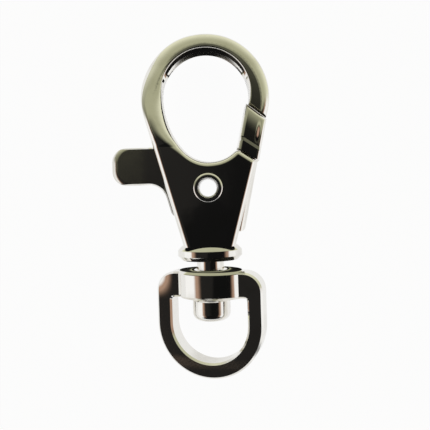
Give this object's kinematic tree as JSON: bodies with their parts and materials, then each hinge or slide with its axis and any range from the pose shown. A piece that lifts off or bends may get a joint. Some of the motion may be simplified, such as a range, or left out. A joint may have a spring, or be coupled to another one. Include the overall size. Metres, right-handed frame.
{
  "type": "scissor snap hook",
  "caption": "Small nickel-plated scissor snap hook: sprung gate with thumb tab, pivot eyelet, and a D-shaped strap ring on a swivel.",
  "frame": {"origin": "middle of the gate's pivot, on the mid plane between the front and the rear face", "axes": "+Y along the hook towards the end of the loop, +X towards the gate, +Z out of the front face; the hook lies on its back and its lowest point is 2.8 mm below the origin"},
  "size_m": [0.0175, 0.0379, 0.0056],
  "materials": {
    "body_nickel": "bright nickel plate on a polished zinc casting",
    "gate_nickel": "bright nickel plate on a polished zinc casting",
    "eyelet_nickel": "bright nickel plate, rolled over at both ends",
    "spring_steel": "bare drawn spring wire",
    "rivet_nickel": "bright nickel plate on a turned pin",
    "ring_nickel": "bright nickel plate on a polished zinc casting"
  },
  "bodies": {
    "hook": {"hook_body": "body_nickel", "pivot_eyelet": "eyelet_nickel", "torsion_spring": "spring_steel", "swivel_rivet": "rivet_nickel"},
    "gate": {"gate_lever": "gate_nickel"},
    "ring": {"swivel_ring": "ring_nickel"}
  },
  "joints": [
    {"name": "gate_hinge", "type": "hinge", "parent": "hook", "child": "gate", "pos_m": [0, 0, 0], "axis": [0, 0, 1], "range_deg": [0, 32], "stiffness_Nm_per_rad": 0.008, "springref_deg": -34.38, "deforming": ["torsion_spring"]},
    {"name": "ring_swivel", "type": "hinge", "parent": "hook", "child": "ring", "pos_m": [0, -0.0106, 0], "axis": [0, 1, 0], "continuous": true}
  ]
}
